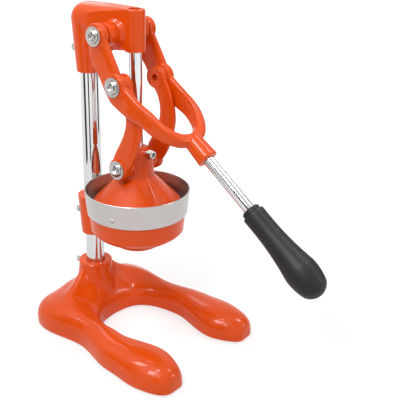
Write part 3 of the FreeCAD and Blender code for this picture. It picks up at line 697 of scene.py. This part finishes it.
@dataclass(frozen=True)
class DomedHead:
    """The low domed head of a pivot bolt: how its rise and width compare with the plain bolt's."""

    rise: float = 5.2
    flatter: float = 0.74
    slimmer: float = 0.90
    socket_reach: float = 3.6
    seat_slack: float = 0.01

    def bolt(self, node: str) -> bpy.types.Object:
        """Make a bolt with this head.

        Args:
            node: the plain bolt's node.

        Returns:
            The new piece.
        """
        low, high = (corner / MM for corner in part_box(node))
        side = -1 if low.x + high.x < 0 else 1
        seat = max(-low.x, high.x) - self.rise
        back, up = (low.y + high.y) / 2, (low.z + high.z) / 2

        def move(point: Vector) -> Vector:
            """Bring the head's points in towards its seat and its axis."""
            beyond = point.x * side - seat
            if beyond < -self.seat_slack:
                return point
            reach = math.hypot(point.y - back, point.z - up)
            narrow = self.slimmer if reach > self.socket_reach else 1.0
            return Vector((
                side * (seat + beyond * self.flatter),
                back + (point.y - back) * narrow,
                up + (point.z - up) * narrow,
            ))

        return reshaped(node, node + "_domed", move)


# Sub-assemblies


@dataclass
class Stand:
    """Base, column and head, with the screws that lock them."""

    rack: FinishRack

    def build(self) -> None:
        """Dress the stand."""
        self.rack.dress(["base_casting", "head_casting"], Look.ENAMEL)
        self.rack.dress(["column"], Look.CHROME)
        self.rack.dress(["foot_pads"], Look.RUBBER)
        screws = ["base_set_screw", "head_set_screw", "holder_set_screw"]
        self.rack.dress(screws + both("lever_bolt_washer") + both("lever_spacer"), Look.FASTENER)
        for node in both("lever_bolt"):
            self.rack.stand_in(DomedHead().bolt(node), [node], "stand", "fastener_steel", Look.FASTENER)


@dataclass
class Lever:
    """Forked lever with its handle, sizes in millimetres.

    The arm's rows give the share of the way between two pivots, the distance of the arm's middle
    above their line, and its height. The ring's rows give the angle round the ring and its height.
    """

    rack: FinishRack
    arm_middle: float = 37.85
    arm_wide: float = 9.3
    upper_arm: Rows = ((0.05, -2.0, 25.0), (0.25, -4.2, 30.0), (0.5, -4.4, 31.6), (0.72, -3.2, 30.0))
    lower_arm: Rows = ((0.02, -4.4, 30.0), (0.14, -4.7, 28.2), (0.27, -3.3, 25.2))
    half_ring: Rows = ((4, 21.5), (20, 19.5), (36, 17.0), (52, 15.0), (68, 13.6), (90, 13.0))
    ring_wide: float = 13.5
    ring_reach: float = 35.6
    bend_at: float = -123.0
    squareness: float = 3.4
    parts: int = 4
    eye_radius: float = 14.0
    eye_inner: float = 33.2
    eye_outer: float = 43.3
    edge: float = 0.6
    hole_radius: float = 5.2
    hole_reach: float = 60.0
    top_pivot: Place = (0.0, -55.6, 371.3)
    link_pivot: Place = (0.0, -83.2, 318.9)
    socket_end: Place = (0.0, -181.5, 248.0)
    handle_slope: float = 37.6
    socket_length: float = 31.0
    socket_radii: tuple[float, float] = (10.0, 11.7)
    thread_radius: float = 5.1
    thread_depth: float = 16.0
    drill_start: float = 5.0
    cell: float = 0.9
    rounds: int = 7
    crease_deg: float = 40.0

    def run(self, start: Vector, end: Vector, rows: Rows) -> list[Section]:
        """Sections of the left arm along a straight run.

        Args:
            start: where the run starts.
            end: where it ends.
            rows: the arm's rows.

        Returns:
            The sections.
        """
        along = (end - start).normalized()
        upright = Vector((0.0, along.z, -along.y))
        across = Vector((1.0, 0.0, 0.0))
        sections = []
        for share, above, tall in rows:
            middle = start.lerp(end, share) + upright * above
            middle.x = -self.arm_middle
            sections.append(Section(middle, across, upright, self.arm_wide, tall))
        return sections

    def ring(self, start: Vector, end: Vector) -> list[Section]:
        """Sections of the half ring, from the left arm to the middle.

        Args:
            start: the lower pivot, on the ring's plane.
            end: the socket's end, on the ring's plane.

        Returns:
            The sections.
        """
        along = (end - start).normalized()
        upright = Vector((0.0, along.z, -along.y))
        sections = []
        for angle, tall in self.half_ring:
            turn = math.radians(angle)
            across = Vector((math.cos(turn), math.sin(turn) * -along.y, math.sin(turn) * -along.z))
            flat = self.bend_at - self.ring_reach * math.sin(turn)
            rise = start.z + (flat - start.y) * along.z / along.y
            middle = Vector((-self.ring_reach * math.cos(turn), flat, rise))
            wide = self.arm_wide + (self.ring_wide - self.arm_wide) * math.sin(turn)
            sections.append(Section(middle, across, upright, wide, tall))
        return sections

    def wishbone(self) -> list[list[Vector]]:
        """Rings of points from the left arm's eye round to the right arm's."""
        top, low, end = Vector(self.top_pivot), Vector(self.link_pivot), Vector(self.socket_end)
        arm = self.run(top, low, self.upper_arm)
        arm += self.run(low, end, self.lower_arm)
        arm += self.ring(low, end)
        left = [section.outline(self.squareness) for section in flowing(arm, self.parts)]
        across = Vector((-1.0, 1.0, 1.0))
        first = len(left[0]) // 2 - 1
        right = []
        for ring in reversed(left[:-1]):
            turned = [point * across for point in reversed(ring)]
            right.append(turned[first:] + turned[:first])
        return left + right

    def fork(self) -> bpy.types.Object:
        """Cast the wishbone with its four eyes and the handle's socket."""
        shell = bmesh.new()
        add_loft(shell, self.wishbone())
        pivots = (Vector(self.top_pivot), Vector(self.link_pivot))
        rim, deep = self.eye_radius, self.eye_outer - self.eye_inner
        eye = ((rim, 0.0), (rim, deep - self.edge), (rim - self.edge, deep))
        for outward in (Vector((-1.0, 0.0, 0.0)), Vector((1.0, 0.0, 0.0))):
            for pivot in pivots:
                add_turned(shell, aimed(pivot + outward * self.eye_inner, outward), eye)
        end = Vector(self.socket_end)
        slope = math.radians(self.handle_slope)
        back = Vector((0.0, math.cos(slope), math.sin(slope)))
        narrow, broad = self.socket_radii
        socket = ((broad - self.edge, 0.0), (broad, self.edge), (narrow, self.socket_length))
        add_turned(shell, aimed(end, back), socket)
        piece = piece_from(shell, "cast_fork")
        cast_together(piece, self.cell, self.rounds)
        rightward = Vector((1.0, 0.0, 0.0))
        bores = []
        for pivot in pivots:
            start = aimed(pivot - rightward * self.hole_reach, rightward)
            bores.append((start, self.hole_radius, 2 * self.hole_reach))
        mouth = aimed(end - back * self.drill_start, back)
        bores.append((mouth, self.thread_radius, self.thread_depth + self.drill_start))
        drill(piece, bores)
        smooth(piece.data, self.crease_deg)
        return piece

    def build(self) -> None:
        """Cast the fork and dress the lever."""
        self.rack.stand_in(self.fork(), ["lever_fork"], "lever", "painted_casting", Look.ENAMEL)
        self.rack.dress(["handle_rod"], Look.CHROME)
        self.rack.dress(["handle_grip"], Look.GRIP)
        self.rack.dress(both("link_top_bolt_washer"), Look.FASTENER)
        for node in both("link_top_bolt"):
            self.rack.stand_in(DomedHead().bolt(node), [node], "lever", "fastener_steel", Look.FASTENER)


@dataclass
class PressHead:
    """Bell, guide rod and the two side links, sizes in millimetres.

    The web's rows give the share of the way from the bottom pivot to the top one, the distance back
    of the web's middle, and its width as seen from the side.
    """

    rack: FinishRack
    axis_back: float = -76.5
    neck_from: float = 226.0
    neck_top: float = 246.5
    neck_drop: float = 5.5
    neck_taper: float = 0.16
    neck_reach: float = 21.0
    bore_reach: float = 9.0
    screw_in: float = 5.6
    screw_up: float = 1.8
    screw_head_from: float = -102.0
    link_inner: float = 24.0
    link_outer: float = 33.0
    web_set: float = 0.9
    web: Rows = (
        (0.04, -78.0, 24.0), (0.12, -83.0, 27.0), (0.24, -90.0, 26.5),
        (0.38, -96.0, 24.5), (0.52, -99.6, 22.5), (0.66, -99.2, 20.5),
        (0.80, -95.4, 19.5), (0.90, -90.0, 20.0), (0.97, -85.2, 21.0),
    )
    squareness: float = 4.0
    parts: int = 3
    eye_radius: float = 13.0
    edge: float = 0.5
    hole_radii: tuple[float, float] = (5.2, 4.0)
    hole_start: float = 10.0
    hole_depth: float = 40.0
    bottom_pivot: Place = (0.0, -76.5, 219.9)
    top_pivot: Place = (0.0, -83.2, 318.9)
    cell: float = 0.8
    rounds: int = 5
    crease_deg: float = 40.0

    def bell(self) -> bpy.types.Object:
        """The bell with its neck's shoulder drawn in."""
        span = self.neck_top - self.neck_from

        def move(point: Vector) -> Vector:
            """Lower the neck's points and draw in the outer ones."""
            reach = math.hypot(point.x, point.y - self.axis_back)
            share = (point.z - self.neck_from) / span
            if share <= 0 or reach > self.neck_reach:
                return point
            narrow = 1.0 - self.neck_taper * share if reach > self.bore_reach else 1.0
            return Vector((
                point.x * narrow,
                self.axis_back + (point.y - self.axis_back) * narrow,
                point.z - self.neck_drop * share,
            ))

        return reshaped("press_bell", "cast_bell", move)

    def clamp_screw(self) -> bpy.types.Object:
        """The neck's clamp screw, driven in to the drawn-in shoulder."""

        def move(point: Vector) -> Vector:
            """Raise the screw and bring its head in."""
            inward = self.screw_in if point.y < self.screw_head_from else 0.0
            return point + Vector((0.0, inward, self.screw_up))

        return reshaped("bell_clamp_screw", "driven_clamp_screw", move)

    def crescent(self, side: int) -> list[Section]:
        """Stations of one link's curved web.

        Args:
            side: minus one for the left link, one for the right.

        Returns:
            The sections, from the bottom up.
        """
        low, top = Vector(self.bottom_pivot), Vector(self.top_pivot)
        out = side * (self.link_inner + self.link_outer) / 2
        rise = top.z - low.z
        middles = [Vector((out, back, low.z + rise * share)) for share, back, _ in self.web]
        across = Vector((1.0, 0.0, 0.0))
        wide = self.link_outer - self.link_inner - 2 * self.web_set
        stations = []
        for spot, middle in enumerate(middles):
            after = middles[min(spot + 1, len(middles) - 1)]
            along = (after - middles[max(spot - 1, 0)]).normalized()
            upright = Vector((0.0, along.z, -along.y))
            stations.append(Section(middle, across, upright, wide, self.web[spot][2]))
        return stations

    def link(self, name: str, side: int) -> bpy.types.Object:
        """Cast one crescent link with its two eyes.

        Args:
            name: the piece's name.
            side: minus one for the left link, one for the right.

        Returns:
            The link.
        """
        shell = bmesh.new()
        web = flowing(self.crescent(side), self.parts)
        add_loft(shell, [section.outline(self.squareness) for section in web])
        outward = Vector((side, 0.0, 0.0))
        pivots = (Vector(self.bottom_pivot), Vector(self.top_pivot))
        deep, rim, edge = self.link_outer - self.link_inner, self.eye_radius, self.edge
        eye = ((rim - edge, 0.0), (rim, edge), (rim, deep - edge), (rim - edge, deep))
        for pivot in pivots:
            add_turned(shell, aimed(pivot + outward * self.link_inner, outward), eye)
        piece = piece_from(shell, name)
        cast_together(piece, self.cell, self.rounds)
        starts = [aimed(pivot + outward * self.hole_start, outward) for pivot in pivots]
        depths = (self.hole_depth, self.hole_depth)
        drill(piece, list(zip(starts, self.hole_radii, depths)))
        smooth(piece.data, self.crease_deg)
        return piece

    def build(self) -> None:
        """Cast the links, draw in the bell's neck and dress the moving press head."""
        self.rack.stand_in(self.bell(), ["press_bell"], "bell", "bell_metal", Look.ENAMEL)
        screw = self.clamp_screw()
        self.rack.stand_in(screw, ["bell_clamp_screw"], "bell", "fastener_steel", Look.FASTENER)
        for word, side in (("left", -1), ("right", 1)):
            link = self.link("cast_link_" + word, side)
            self.rack.stand_in(link, ["link_" + word], word + "_link", "painted_casting", Look.ENAMEL)
        for node in both("link_bottom_bolt"):
            self.rack.stand_in(DomedHead().bolt(node), [node], "bell", "fastener_steel", Look.FASTENER)
        self.rack.dress(["guide_rod"], Look.CHROME)
        self.rack.dress(both("link_bottom_bolt_washer"), Look.FASTENER)


@dataclass
class JuiceCup:
    """Bowl holder, steel cup and strainer, sizes in millimetres.

    The dimple's outline gives radius and height, from its buried edge over its raised rim to its hollow.
    """

    rack: FinishRack
    axis_back: float = -76.5
    rim_up: float = 189.4
    band_tall: float = 28.4
    band_reach: float = 56.0
    taper: float = 0.045
    dimple_turn: float = -164.5
    dimple_up: float = 169.6
    dimple_reach: float = 60.5
    dimple_outline: Rows = (
        (2.5, -0.6), (2.5, 0.35), (2.1, 0.75),
        (1.5, 0.75), (1.1, 0.35), (0.4, 0.25),
    )
    dimple_points: int = 32
    dimple_crease: float = 50.0

    def cup(self) -> bpy.types.Object:
        """The steel cup, whose band narrows a little towards its floor."""

        def move(point: Vector) -> Vector:
            """Draw in the band's points by their depth below the rim."""
            reach = math.hypot(point.x, point.y - self.axis_back)
            if reach < self.band_reach:
                return point
            narrow = 1.0 - self.taper * (self.rim_up - point.z) / self.band_tall
            back = self.axis_back + (point.y - self.axis_back) * narrow
            return Vector((point.x * narrow, back, point.z))

        return reshaped("strainer_cup", "spun_cup", move)

    def dimple(self) -> bpy.types.Object:
        """The small pressed dimple on the cup's band."""
        turn = math.radians(self.dimple_turn)
        outward = Vector((math.cos(turn), math.sin(turn), 0.0))
        origin = Vector((0.0, self.axis_back, self.dimple_up)) + outward * self.dimple_reach
        shell = bmesh.new()
        add_turned(shell, aimed(origin, outward), self.dimple_outline, self.dimple_points)
        piece = piece_from(shell, "cup_dimple")
        smooth(piece.data, self.dimple_crease)
        return piece

    def build(self) -> None:
        """Dress the cup."""
        self.rack.dress(["bowl_holder"], Look.ENAMEL)
        self.rack.stand_in(self.cup(), ["strainer_cup"], "stand", "cup_steel", Look.SHEET)
        self.rack.stand_in(self.dimple(), [], "stand", "cup_steel", Look.FASTENER)
        self.rack.dress(["strainer_cone"], Look.STRAINER)


# Studio


WHITE = linear("#FFFFFF")


def flat_sheet(name: str, width: float, height: float) -> bpy.types.Object:
    """Lay a flat sheet on the floor's plane, centred on its origin.

    Args:
        name: the sheet's name.
        width: size along x, in metres.
        height: size along y, in metres.

    Returns:
        The sheet.
    """
    mesh = bpy.data.meshes.new(name)
    right, far = width / 2, height / 2
    edge = [(-right, -far, 0), (right, -far, 0), (right, far, 0), (-right, far, 0)]
    mesh.from_pydata(edge, [], [(0, 1, 2, 3)])
    return object_of(mesh, name)


def hang(item: bpy.types.Object, place: Place, aim: Vector) -> None:
    """Put a lamp or a card at a place, turned towards the point that it aims at."""
    item.location = place
    item.rotation_euler = (aim - Vector(place)).to_track_quat("-Z", "Y").to_euler()


@dataclass(frozen=True)
class SoftLamp:
    """One square soft light that looks at the middle of the press, in metres and watts."""

    name: str
    place: Place
    size: float
    power: float

    def build(self, aim: Vector) -> None:
        """Hang the lamp.

        Args:
            aim: the point that it looks at.
        """
        data = bpy.data.lights.new(self.name, "AREA")
        data.shape = "SQUARE"
        data.size = self.size
        data.energy = self.power
        lamp = bpy.data.objects.new(self.name, data)
        bpy.context.scene.collection.objects.link(lamp)
        hang(lamp, self.place, aim)


@dataclass(frozen=True)
class Card:
    """A card that only mirrors see, in metres.

    Dark ones draw the streaks on the chrome, and bright ones the highlights on the enamel.
    """

    name: str
    place: Place
    width: float
    height: float
    glow: float

    def build(self, aim: Vector) -> None:
        """Hang the card.

        Args:
            aim: the point that it faces.
        """
        made, out = empty_material(self.name)
        light = {"Color": WHITE, "Strength": self.glow}
        shader = add_node(made.node_tree, "ShaderNodeEmission", light)
        made.node_tree.links.new(shader.outputs["Emission"], out.inputs["Surface"])
        card = flat_sheet(self.name, self.width, self.height)
        card.data.materials.append(made)
        card.visible_camera = False
        card.visible_diffuse = False
        card.visible_shadow = False
        card.visible_transmission = False
        hang(card, self.place, aim)


@dataclass(frozen=True)
class PhotoCamera:
    """The photograph's camera, for a square frame: metres, degrees and pixels of the frame."""

    place: Place = (-0.5525, -0.6011, 0.4893)
    azimuth: float = -47.69
    elevation: float = 17.52
    roll: float = -0.35
    frame: float = 400.0
    focal: float = 689.19
    centre: tuple[float, float] = (150.34, 139.23)
    sensor_mm: float = 36.0
    clip: tuple[float, float] = (0.05, 50.0)

    def build(self) -> None:
        """Set up the camera."""
        azimuth = math.radians(self.azimuth)
        elevation = math.radians(self.elevation)
        roll = math.radians(self.roll)
        flat = math.cos(elevation)
        back = Vector((math.sin(azimuth) * flat, -math.cos(azimuth) * flat, math.sin(elevation)))
        right = Vector((math.cos(azimuth), math.sin(azimuth), 0.0))
        up = back.cross(right)
        level = math.cos(roll) * right + math.sin(roll) * up
        upright = -math.sin(roll) * right + math.cos(roll) * up
        data = bpy.data.cameras.new("photo_camera")
        data.sensor_width = self.sensor_mm
        data.lens = self.focal * self.sensor_mm / self.frame
        data.shift_x = (self.frame / 2 - self.centre[0]) / self.frame
        data.shift_y = (self.centre[1] - self.frame / 2) / self.frame
        data.clip_start, data.clip_end = self.clip
        camera = bpy.data.objects.new("photo_camera", data)
        turn = Matrix((level, upright, back)).transposed().to_4x4()
        camera.matrix_world = Matrix.Translation(Vector(self.place)) @ turn
        bpy.context.scene.collection.objects.link(camera)
        bpy.context.scene.camera = camera


@dataclass
class Studio:
    """Pale floor, white surround, soft lamps and the camera of the photograph, in metres."""

    aim: Place = (0.0, -0.10, 0.20)
    ambient: float = 0.40
    floor_wide: float = 12.0
    paper: str = "#E7E7E7"
    shaded_paper: str = "#ADADAD"
    near_glow: float = 0.64
    far_glow: float = 1.00
    glow_from: float = 0.45
    glow_to: float = 1.60
    lamps: Sequence[SoftLamp] = (
        SoftLamp("key_lamp", (-1.30, -0.50, 1.50), 0.40, 13.5),
        SoftLamp("fill_lamp", (0.90, -1.80, 0.90), 0.50, 6.0),
        SoftLamp("left_lamp", (-0.54, 0.60, 1.54), 0.26, 4.5),
        SoftLamp("top_lamp", (-0.40, -0.12, 1.73), 0.22, 3.0),
        SoftLamp("right_lamp", (0.60, -0.70, 1.55), 0.26, 4.5),
        SoftLamp("back_lamp", (0.80, 1.50, 1.50), 0.80, 6.0),
    )
    cards: Sequence[Card] = (
        Card("left_dark_card", (-0.50, 0.17, 0.30), 0.26, 0.60, 0.04),
        Card("near_dark_card", (-0.46, -0.27, 0.30), 0.14, 0.60, 0.04),
        Card("right_dark_card", (0.62, -0.42, 0.30), 0.30, 0.60, 0.04),
        Card("left_bright_card", (-1.00, -0.15, 1.35), 0.50, 0.50, 18.0),
        Card("rear_bright_card", (-0.54, 0.60, 1.54), 0.22, 0.50, 16.0),
        Card("top_bright_card", (-0.40, -0.12, 1.73), 0.18, 0.40, 14.0),
        Card("right_bright_card", (0.60, -0.70, 1.55), 0.22, 0.50, 16.0),
    )

    def white_seen_by(self, tree: bpy.types.NodeTree) -> bpy.types.NodeSocket:
        """One for camera, glossy and transmission rays, so that mirrors show the white surround too.

        Args:
            tree: the world's or the floor's node tree.

        Returns:
            The socket.
        """
        path = add_node(tree, "ShaderNodeLightPath")
        larger = {"operation": "MAXIMUM"}
        direct = {0: path.outputs["Is Camera Ray"], 1: path.outputs["Is Glossy Ray"]}
        seen = add_node(tree, "ShaderNodeMath", larger, direct)
        through = {0: seen.outputs[0], 1: path.outputs["Is Transmission Ray"]}
        return add_node(tree, "ShaderNodeMath", larger, through).outputs[0]

    def world(self) -> None:
        """White surround that lights the press softly."""
        world = bpy.data.worlds.new("white_surround")
        world.use_nodes = True
        tree = world.node_tree
        tree.nodes.clear()
        light = {"To Min": self.ambient, "To Max": 1.0}
        strength = add_node(tree, "ShaderNodeMapRange", light, {"Value": self.white_seen_by(tree)})
        sky = {"Strength": strength.outputs["Result"]}
        glow = add_node(tree, "ShaderNodeBackground", {"Color": WHITE}, sky)
        add_node(tree, "ShaderNodeOutputWorld", {}, {"Surface": glow.outputs["Background"]})
        bpy.context.scene.world = world

    def floor(self) -> None:
        """Pale floor that keeps the press's shadow and turns to plain white away from it."""
        made, out = empty_material("pale_floor")
        tree = made.node_tree
        paper = add_node(tree, "ShaderNodeBsdfDiffuse", {"Color": linear(self.paper)})
        shaded = add_node(tree, "ShaderNodeBsdfDiffuse", {"Color": linear(self.shaded_paper)})
        place = add_node(tree, "ShaderNodeTexCoord").outputs["Object"]
        reach = add_node(tree, "ShaderNodeVectorMath", {"operation": "LENGTH"}, {0: place})
        fade = {
            "From Min": self.glow_from,
            "From Max": self.glow_to,
            "To Min": self.near_glow,
            "To Max": self.far_glow,
        }
        glow = add_node(tree, "ShaderNodeMapRange", fade, {"Value": reach.outputs["Value"]})
        rise = {"Strength": glow.outputs["Result"]}
        lift = add_node(tree, "ShaderNodeEmission", {"Color": WHITE}, rise)
        shown = add_node(tree, "ShaderNodeAddShader", {}, {0: shaded.outputs[0], 1: lift.outputs[0]})
        sides = {0: self.white_seen_by(tree), 1: paper.outputs[0], 2: shown.outputs[0]}
        mix = add_node(tree, "ShaderNodeMixShader", {}, sides)
        tree.links.new(mix.outputs[0], out.inputs["Surface"])
        ground = flat_sheet("studio_floor", self.floor_wide, self.floor_wide)
        ground.data.materials.append(made)

    def build(self) -> None:
        """Set up the studio."""
        bpy.context.scene.view_settings.view_transform = "Standard"
        self.world()
        self.floor()
        PhotoCamera().build()
        for item in (*self.lamps, *self.cards):
            item.build(Vector(self.aim))


def main() -> None:
    """Build the studio and dress the press."""
    logging.basicConfig(level=logging.INFO, format="%(message)s")
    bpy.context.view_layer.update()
    Studio().build()
    rack = FinishRack()
    for part in (Stand(rack), Lever(rack), PressHead(rack), JuiceCup(rack)):
        part.build()


if __name__ == "__main__":
    main()
